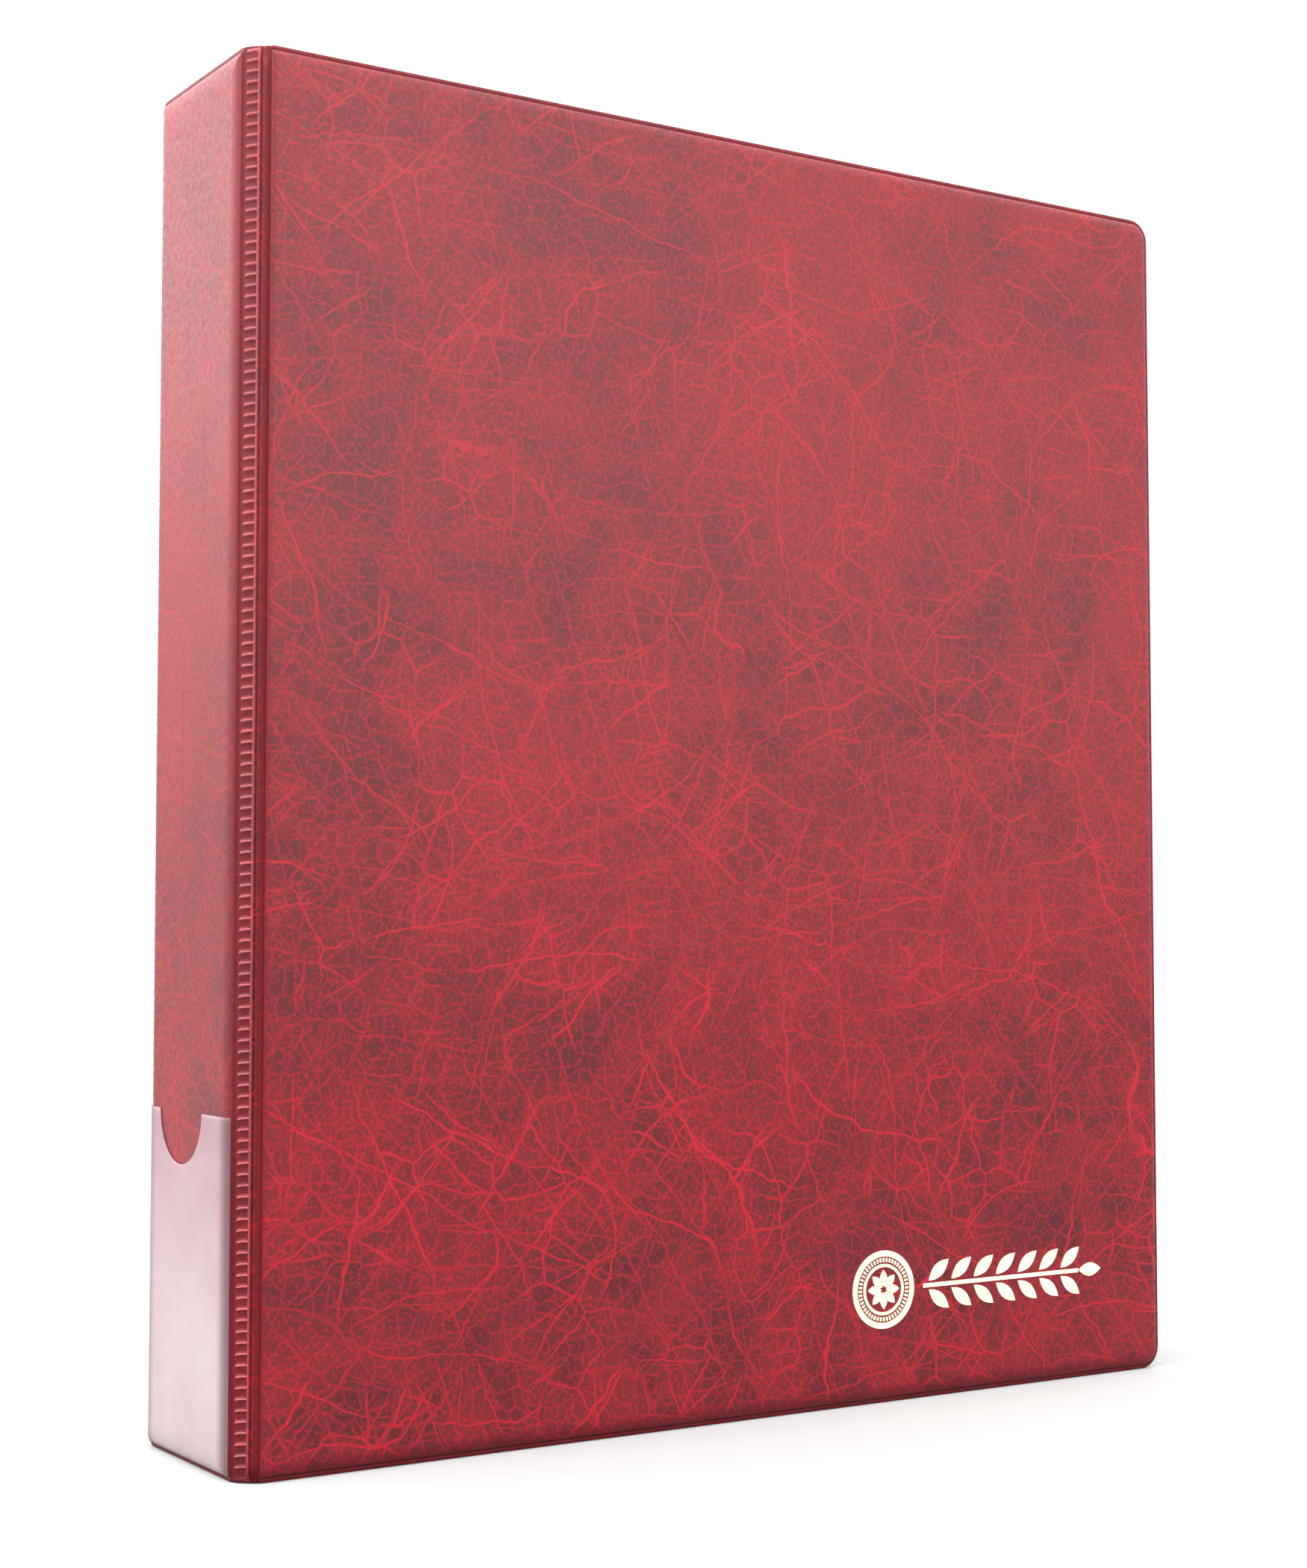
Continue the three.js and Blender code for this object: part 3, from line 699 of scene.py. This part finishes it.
def make_web(side, word):
    """The cover side of a hinge: the wide groove between the bead and the cover."""
    across = [w * MM for w in (1.0, 1.3, 1.6, 1.85)]
    outer = [strip_point(w, out * MM) for w, out in zip(across, (0.30, 0.12, 0.06, 0.08))]
    outer += [(4.30 * MM, 1.45 * MM), (4.55 * MM, 1.38 * MM), (4.85 * MM, 1.22 * MM), (5.3 * MM, FLANGE)]
    inner = [(5.3 * MM, INNER_FLANGE), (4.85 * MM, INNER_FLANGE)]
    inner += [strip_point(w, 0.02 * MM - HALF_STRIP) for w in (1.9 * MM, 1.0 * MM)]
    heights = [STRIP_FOOT + STRIP_HEIGHT * i / 60 for i in range(61)]
    # Relief for the material: painted shade that deepens across the groove towards the cover.
    sunk = [-0.3, -0.35, -0.45, -0.6, -0.85, -1.0, -1.0, -1.0]

    def surface(i, z):
        return 0.0, sunk[i]

    piece = prism_skin(f"{word}_hinge_groove", side, outer, inner, heights, surface)
    start = hinge_to_frame(side, 4.25 * MM, 1.75 * MM, 0)
    end = hinge_to_frame(side, 4.95 * MM, 1.5 * MM, 0)
    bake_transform(piece)
    return piece


def make_hinge(side, word):
    """Both halves of a hinge strip, which stand in for the one strip in CAD."""
    ladder = make_ladder(side, word)
    web = make_web(side, word)
    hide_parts(f"{word}_hinge_strip")


# ---------------------------------------------------------------- label pocket
def make_label_pocket():
    """A film over the foot of the spine, open along its top edge, with a round thumb notch."""
    half = (SPINE_HIGH.y - SPINE_LOW.y) / 2
    reach = half - 0.35 * MM
    columns = [-reach + 2 * reach * i / 40 for i in range(41)]
    turns = [half - inset * MM for inset in (0.45, 0.6, 0.8, 1.05, 1.7, 2.2)]
    columns += turns + [-y for y in turns]
    arc = [NOTCH_OFFSET + NOTCH_RADIUS * math.cos(math.pi * i / 28) for i in range(29)]
    columns = sorted([y for y in columns if abs(y - NOTCH_OFFSET) > NOTCH_RADIUS + 0.3 * MM] + arc)
    rows = 36

    def drop(share):
        """Depth of the vinyl's rounded shoulder, by the share of its width from the edge."""
        return (WELD_DEPTH - SKIN) * (1 - math.sqrt(1 - (1 - share) ** 2))

    def spine_depth(y, z):
        """Depth of the vinyl under the film, which follows its rounded edges."""
        side = min(1.0, max(0.0, (half - 0.2 * MM - abs(y)) / (3.0 * MM)))
        foot = min(1.0, max(0.0, (z - 1.0 * MM) / (3.6 * MM)))
        return max(drop(side), drop(foot))

    verts = []
    for r in range(rows + 1):
        share = smoothstep(r / rows) * 0.5 + r / rows * 0.5
        for y in columns:
            inside = NOTCH_RADIUS**2 - (y - NOTCH_OFFSET) ** 2
            top = FILM_TOP - (math.sqrt(inside) if inside > 0 else 0.0)
            z = FILM_BOTTOM + (top - FILM_BOTTOM) * share
            verts.append((SPINE_X + spine_depth(y, z) - FILM_LIFT, y, z))
    faces = stitch(rows + 1, len(columns), False)
    film = add_object("label_pocket_film", verts, faces, FILM)
    thick = film.modifiers.new("thickness", "SOLIDIFY")
    thick.thickness = FILM_THICKNESS
    thick.offset = 0.0
    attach(film, "spine")
    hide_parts("label_pocket")


# ---------------------------------------------------------------- foil ornament
FOIL_FRONT = FRONT_Y - 0.17 * MM - 0.05 * MM  # just proud of the waves of the vinyl
FOIL_BACK = FRONT_Y + 0.1 * MM
COIN_X = SPINE_X + 152.6 * MM  # centre of the coin
COIN_BASE = 16.2 * MM  # its lowest point
COIN_RADIUS = 8.5 * MM
SPRIG_REACH = 64 * MM  # from the centre of the coin to the tip of the sprig
LEAF_PAIRS = 7


class Foil:
    """Collects flat foil shapes lying on the front cover."""

    def __init__(self):
        self.verts, self.faces = [], []

    def plate(self, outline):
        """A closed thin plate from its outline in (x, z)."""
        first, count = len(self.verts), len(outline)
        for y in (FOIL_FRONT, FOIL_BACK):
            self.verts += [(x, y, z) for x, z in outline]
        self.faces.append(tuple(first + i for i in range(count)))
        self.faces.append(tuple(first + count + i for i in range(count)))
        for i in range(count):
            n = (i + 1) % count
            self.faces.append((first + i, first + n, first + count + n, first + count + i))

    def ring(self, x, z, outer, inner, sides):
        """A flat ring round (x, z)."""
        first = len(self.verts)
        for radius in (outer, inner):
            for y in (FOIL_FRONT, FOIL_BACK):
                for i in range(sides):
                    turn = 2 * math.pi * i / sides
                    self.verts.append((x + radius * math.cos(turn), y, z + radius * math.sin(turn)))
        for low, high in [(0, 1), (1, 3), (3, 2), (2, 0)]:
            for i in range(sides):
                n = (i + 1) % sides
                self.faces.append((
                    first + low * sides + i, first + low * sides + n,
                    first + high * sides + n, first + high * sides + i,
                ))

    def reeds(self, x, z, outer, inner, count):
        """Short radial bars, like the milled edge of a coin."""
        for i in range(count):
            middle, half = 2 * math.pi * i / count, 0.55 * math.pi / count
            corners = [(outer, -half), (outer, half), (inner, half), (inner, -half)]
            self.plate([(x + r * math.cos(middle + t), z + r * math.sin(middle + t)) for r, t in corners])

    def leaf(self, x, z, length, width, turn):
        """A pointed leaf from its stalk end at (x, z)."""
        along = Vector((math.cos(turn), math.sin(turn)))
        across = Vector((-math.sin(turn), math.cos(turn)))
        shares = [i / 9 for i in range(10)]
        bulge = [math.sin(math.pi * t) ** 0.9 * width / 2 for t in shares]
        edge = [along * length * t + across * b for t, b in zip(shares, bulge)]
        edge += [along * length * t - across * b for t, b in reversed(list(zip(shares, bulge))[1:-1])]
        self.plate([(x + point.x, z + point.y) for point in edge])


def make_ornament():
    """A milled coin and a laurel sprig lying beside it, stamped in gold foil, with no lettering."""
    foil = Foil()
    coin = COIN_RADIUS
    x, z = COIN_X, COIN_BASE + coin
    foil.ring(x, z, coin, coin - 1.3 * MM, 96)
    foil.reeds(x, z, coin - 1.6 * MM, coin - 2.5 * MM, 48)
    foil.ring(x, z, coin - 2.9 * MM, coin - 3.6 * MM, 72)
    for i in range(8):
        turn = math.pi * i / 4
        foil.leaf(x + 0.6 * MM * math.cos(turn), z + 0.6 * MM * math.sin(turn), 3.7 * MM, 1.9 * MM, turn)
    start, end = x + coin + 2.6 * MM, COIN_X + SPRIG_REACH
    stem = 0.45 * MM
    foil.plate([(start, z - stem), (end - 7 * MM, z - stem), (end - 7 * MM, z + stem), (start, z + stem)])
    pitch = (end - 7.5 * MM - start) / LEAF_PAIRS
    for i in range(LEAF_PAIRS):
        x = start + pitch * (i + 0.25)
        for way in (-1, 1):
            foil.leaf(x, z + way * 0.95 * MM, 7.2 * MM, 2.9 * MM, way * math.radians(38))
    foil.leaf(end - 6.8 * MM, z, 6.8 * MM, 3.1 * MM, 0.0)
    piece = add_object("front_cover_foil_ornament", foil.verts, foil.faces, GOLD, smooth=False)
    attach(piece, "front_cover")


# ---------------------------------------------------------------- ring mechanism
RINGS = [sum(p.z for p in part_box(f"front_half_ring_{i}")) / 2 for i in range(1, 5)]


def tube(name, path, radii, material, sides=20):
    """A closed round bar along a path in the plane z = constant."""
    verts, count = [], len(path)
    for i, (point, radius) in enumerate(zip(path, radii)):
        before, after = path[max(0, i - 1)], path[min(count - 1, i + 1)]
        along = (after - before).normalized()
        across = Vector((0, 0, 1)).cross(along)
        for k in range(sides):
            turn = 2 * math.pi * k / sides
            verts.append(point + across * radius * math.cos(turn) + Vector((0, 0, radius * math.sin(turn))))
    faces = stitch(count, sides, True)
    faces.append(tuple(range(sides)))
    faces.append(tuple(range((count - 1) * sides, count * sides)))
    return add_object(name, verts, faces, material)


def half_ring_path(side, z):
    """From the foot under the case, up through its slot and round the circle to the middle plane."""
    leaves = math.radians(RING_LEAVES)
    base = SPINE_X + PANEL
    arc = []
    for i in range(41):
        turn = leaves * (1 - i / 40)
        around = Vector((RING_RADIUS * math.cos(turn), side * RING_RADIUS * math.sin(turn), z))
        arc.append(RING_CENTRE + around)
    heel = arc[0]
    out = (arc[0] - arc[1]).normalized()
    foot = Vector((base + 0.9 * MM, side * 5.0 * MM, z))
    down = Vector((-1, 0, 0))
    curve = []
    for i in range(14):
        t = i / 14
        a, b = foot - down * 2.6 * MM, heel + out * 2.4 * MM
        curve.append(foot * (1 - t) ** 3 + a * 3 * t * (1 - t) ** 2 + b * 3 * t * t * (1 - t) + heel * t**3)
    return curve + arc


def make_half_rings():
    """Four rings, each in two halves that meet tip to tip in the middle plane."""
    for side, word in SIDES:
        for i, z in enumerate(RINGS, 1):
            path = half_ring_path(side, z)
            radii = [WIRE] * len(path)
            radii[0] = WIRE * 0.85
            tip = path[-1]
            path += [tip - Vector((0, side * 0.02 * MM, 0))]
            radii[-1] = WIRE * 0.93
            radii += [WIRE * 0.8]
            piece = tube(f"{word}_half_ring_wire_{i}", path, radii, NICKEL)
            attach(piece, f"{word}_rings")
            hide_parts(f"{word}_half_ring_{i}")


def refine(node_name, name, body):
    """A nickel piece on a CAD solid's own outline, with its edges rounded and its curves smooth."""
    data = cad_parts[node_name].data.copy()
    piece = bpy.data.objects.new(name, data)
    bpy.context.scene.collection.objects.link(piece)
    data.materials.clear()
    data.materials.append(NICKEL)
    for face in data.polygons:
        face.use_smooth = True
    soften = piece.modifiers.new("soften", "BEVEL")
    soften.width = METAL_EDGE
    soften.segments = 3
    soften.limit_method = "ANGLE"
    soften.angle_limit = math.radians(38)
    soften.harden_normals = True
    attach(piece, body)
    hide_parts(node_name)


def make_mechanism():
    """The case, its rivets, the levers on their pins, and the blades."""
    refine("ring_case", "ring_case_shell", "spine")
    for i in (1, 2):
        refine(f"case_rivet_{i}", f"case_rivet_head_{i}", "spine")
    for word in ("top", "bottom"):
        refine(f"{word}_lever", f"{word}_lever_tab", f"{word}_lever")
        refine(f"{word}_lever_pin", f"{word}_lever_pin_rod", "spine")
    for _, word in SIDES:
        refine(f"{word}_blade", f"{word}_blade_plate", f"{word}_rings")


def dress_boards():
    """The boards are sealed in their skins, so they keep their plain shapes."""
    for name in ("front_cover_board", "back_cover_board", "spine_board"):
        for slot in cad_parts[name].material_slots:
            slot.material = BOARD


# ---------------------------------------------------------------- coin pages
BINDING = 17 * MM  # width of the punched strip
PAGE_MARGIN = 2 * MM  # plain welded film round the pockets
POCKET_COLUMNS, POCKET_ROWS = 4, 5
POCKET_LIP = 4.2 * MM  # height of the flat mouth of a pocket
SLOT_INNER, SLOT_OUTER, SLOT_HALF = 5.4 * MM, 15.0 * MM, 2.75 * MM  # from the bound edge; half height
STRIP_THICK = 0.5 * MM
FILM_HALF = 0.13 * MM  # half thickness of the two films where they are welded


def slot_outline(z):
    """A round-ended slot in the binding strip at a ring's height, as (a, z) points."""
    left, right = SLOT_INNER + SLOT_HALF, SLOT_OUTER - SLOT_HALF
    points = []
    for i in range(13):
        turn = math.pi / 2 + math.pi * i / 12
        points.append((left + SLOT_HALF * math.cos(turn), z + SLOT_HALF * math.sin(turn)))
    for i in range(13):
        turn = -math.pi / 2 + math.pi * i / 12
        points.append((right + SLOT_HALF * math.cos(turn), z + SLOT_HALF * math.sin(turn)))
    return points


def in_slot(a, z, middle):
    """Whether a point is inside the slot at a ring's height."""
    nearest = min(max(a, SLOT_INNER + SLOT_HALF), SLOT_OUTER - SLOT_HALF)
    return math.hypot(a - nearest, z - middle) < SLOT_HALF * 0.985


def punched_strip(width, low, high):
    """The flat triangles of the binding strip and its points, as (a, z)."""
    loops = [[(0, low), (width, low), (width, high), (0, high)]] + [slot_outline(z) for z in RINGS]
    points, edges = [], []
    for loop in loops:
        first = len(points)
        points += [Vector(p) for p in loop]
        edges += [(first + i, first + (i + 1) % len(loop)) for i in range(len(loop))]
    flat, _, triangles, _, _, _ = geometry.delaunay_2d_cdt(points, edges, [], 0, 1e-7)
    kept = []
    for triangle in triangles:
        middle = sum((flat[i] for i in triangle), Vector((0, 0))) / 3
        if not any(in_slot(middle.x, middle.y, z) for z in RINGS):
            kept.append(tuple(triangle))
    return flat, kept


def close_plate(points, triangles, half):
    """A plate of even thickness on flat triangles: its points (a, z, y) and faces."""
    count = len(points)
    verts = [(p.x, p.y, y) for y in (-half, half) for p in points]
    faces = list(triangles) + [tuple(count + i for i in reversed(t)) for t in triangles]
    sides = {(a, b) for t in triangles for a, b in zip(t, t[1:] + t[:1])}
    faces += [(b, a, count + a, count + b) for a, b in sides if (b, a) not in sides]
    return verts, faces


def pocket_stops(start, pitch, count, end):
    """Grid lines across a row of pockets: each weld, the pockets' shoulders and their middles."""
    stops = [start]
    for i in range(count):
        left, right = start + pitch * i, start + pitch * (i + 1)
        shoulders = [0.9 * MM, 1.15 * MM, 1.7 * MM, 2.8 * MM, 5.5 * MM]
        stops += [left + s for s in shoulders]
        stops += [left + pitch * t for t in (0.25, 0.5, 0.75)]
        stops += [right - s for s in reversed(shoulders)]
    return stops + [end]


def pocket_rise(distance):
    """How far a pocket's film lies from the weld, by the distance from the pocket's edge."""
    t = min(1.0, max(0.0, (distance - 0.9 * MM) / (2.2 * MM)))
    return math.sqrt(1 - (1 - t) ** 2)


def page_pockets(width, low, high, thick):
    """The pocket films as one closed body: two sheets, welded between and around the pockets."""
    margin = PAGE_MARGIN
    start = BINDING + 0.03 * MM
    pitch_a = (width - margin - start) / POCKET_COLUMNS
    pitch_z = (high - low - 2 * margin) / POCKET_ROWS
    stops_a = pocket_stops(start, pitch_a, POCKET_COLUMNS, width)
    stops_z = [low] + pocket_stops(low + margin, pitch_z, POCKET_ROWS, high)
    slack = thick / 2 - FILM_HALF
    verts, milky = [], []
    for way in (-1, 1):
        for z in stops_z:
            for a in stops_a:
                in_a = (a - start) / pitch_a % 1.0 * pitch_a
                in_z = (z - low - margin) / pitch_z % 1.0 * pitch_z
                edge = min(in_a, pitch_a - in_a, in_z, pitch_z - in_z)
                inside = start < a < width - margin and low + margin < z < high - margin
                rise = pocket_rise(edge) * slack if inside else 0.0
                # The mouth of each pocket is a lip of the front film, just under the upper weld.
                if way < 0 and inside and pitch_z - in_z < POCKET_LIP:
                    rise *= 0.35
                verts.append((a, z, way * (FILM_HALF + rise)))
                milky.append(0.0 if rise > 0.6 * slack else 0.35 if rise > 0 else 1.0)
    columns, rows = len(stops_a), len(stops_z)
    layer = columns * rows
    faces = stitch(rows, columns, False)
    faces += [tuple(layer + i for i in reversed(face)) for face in faces]
    rim = list(range(columns)) + [r * columns + columns - 1 for r in range(1, rows)]
    rim += [(rows - 1) * columns + c for c in range(columns - 2, -1, -1)]
    rim += [r * columns for r in range(rows - 2, 0, -1)]
    faces += [(b, a, layer + a, layer + b) for a, b in zip(rim, rim[1:] + rim[:1])]
    return verts, faces, milky


def make_page(index):
    """One coin page: the punched strip and the pocket films."""
    name = f"coin_page_{index:02d}"
    low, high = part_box(name)
    width, thick = high.x - low.x, high.y - low.y
    points, triangles = punched_strip(BINDING, low.z, high.z)
    verts, faces = close_plate(points, triangles, STRIP_THICK / 2)
    film_verts, film_faces, milky = page_pockets(width, low.z, high.z, thick)
    milky = [1.4] * len(verts) + milky
    faces += [tuple(len(verts) + i for i in face) for face in film_faces]
    verts += film_verts
    middle = (low.y + high.y) / 2
    placed = [(low.x + a, middle + y, z) for a, z, y in verts]
    piece = add_object(f"coin_page_film_{index:02d}", placed, faces, PAGE, smooth=False, relief=milky)
    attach(piece, name)
    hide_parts(name)


# ---------------------------------------------------------------- camera, light and floor
CAMERA_HEADING, CAMERA_PITCH = 32.87, 3.12  # degrees
CAMERA_PLACE = Vector((SPINE_X - 193 * MM, FRONT_Y - 441.9 * MM, 105.4 * MM))
CAMERA_SENSOR, CAMERA_LENS = 36, 57.88  # mm


def make_camera():
    """The camera stands low in front of the spine's corner and looks slightly up."""
    data = bpy.data.cameras.new("camera")
    data.sensor_width = CAMERA_SENSOR
    data.lens = CAMERA_LENS
    data.clip_start = 0.01
    camera = bpy.data.objects.new("camera", data)
    bpy.context.scene.collection.objects.link(camera)
    heading, pitch = math.radians(CAMERA_HEADING), math.radians(CAMERA_PITCH)
    look = Vector((
        math.sin(heading) * math.cos(pitch), math.cos(heading) * math.cos(pitch), math.sin(pitch),
    ))
    camera.location = CAMERA_PLACE
    camera.rotation_mode = "QUATERNION"
    camera.rotation_quaternion = look.to_track_quat("-Z", "Y")
    bpy.context.scene.camera = camera


def area_light(name, place, target, size, power):
    """A soft rectangular lamp that the camera doesn't see."""
    data = bpy.data.lights.new(name, "AREA")
    data.shape = "RECTANGLE"
    data.size, data.size_y = size
    data.energy = power
    light = bpy.data.objects.new(name, data)
    bpy.context.scene.collection.objects.link(light)
    light.location = place
    light.rotation_mode = "QUATERNION"
    light.rotation_quaternion = (Vector(target) - Vector(place)).to_track_quat("-Z", "Y")
    light.visible_camera = False


def make_light():
    """A white tent that is brightest overhead, a soft key in front and a soft light behind the spine."""
    world = bpy.data.worlds.new("world")
    bpy.context.scene.world = world
    world.use_nodes = True
    nodes, links = world.node_tree.nodes, world.node_tree.links
    direction = nodes.new("ShaderNodeTexCoord")
    axes = nodes.new("ShaderNodeSeparateXYZ")
    links.new(direction.outputs["Generated"], axes.inputs[0])
    rising = nodes.new("ShaderNodeMapRange")
    for socket, value in [("From Min", 0.12), ("From Max", 0.85), ("To Min", 1.0), ("To Max", 3.1)]:
        rising.inputs[socket].default_value = value
    links.new(axes.outputs[2], rising.inputs["Value"])
    links.new(rising.outputs[0], nodes["Background"].inputs["Strength"])
    nodes["Background"].inputs["Color"].default_value = (1, 1, 1, 1)
    area_light("key", (0.15, -0.82, 0.66), (-0.08, 0, HEIGHT * 0.85), (0.6, 0.6), 3.6)
    area_light("back", (-0.42, 0.80, 0.75), (SPINE_X, 0, HEIGHT * 0.9), (0.8, 0.8), 3.6)
    area_light("side", (-0.9, -0.12, 0.85), (SPINE_X, 0, HEIGHT), (0.5, 0.5), 8.0)
    bpy.context.scene.view_settings.view_transform = "Standard"


def make_floor():
    """A plain pale floor just under the album."""
    material, tree = new_material("floor")
    g = Graph(tree)
    g.set(Base_Color=(0.46, 0.46, 0.46, 1), Roughness=0.9)
    g.shader.inputs["Specular IOR Level"].default_value = 0.0
    half = 6.0
    corners = [(-half, -half, 0), (half, -half, 0), (half, half, 0), (-half, half, 0)]
    floor = add_object("floor", corners, [(0, 1, 2, 3)], material)
    floor.location.z = cad_low.z - 0.05 * MM


make_camera()
make_light()
make_floor()
for side_way, side_word in SIDES:
    make_cover(side_way, side_word)
make_spine()
for side_way, side_word in SIDES:
    make_hinge(side_way, side_word)
make_label_pocket()
make_ornament()
make_half_rings()
make_mechanism()
dress_boards()
for page_index in range(1, 11):
    make_page(page_index)
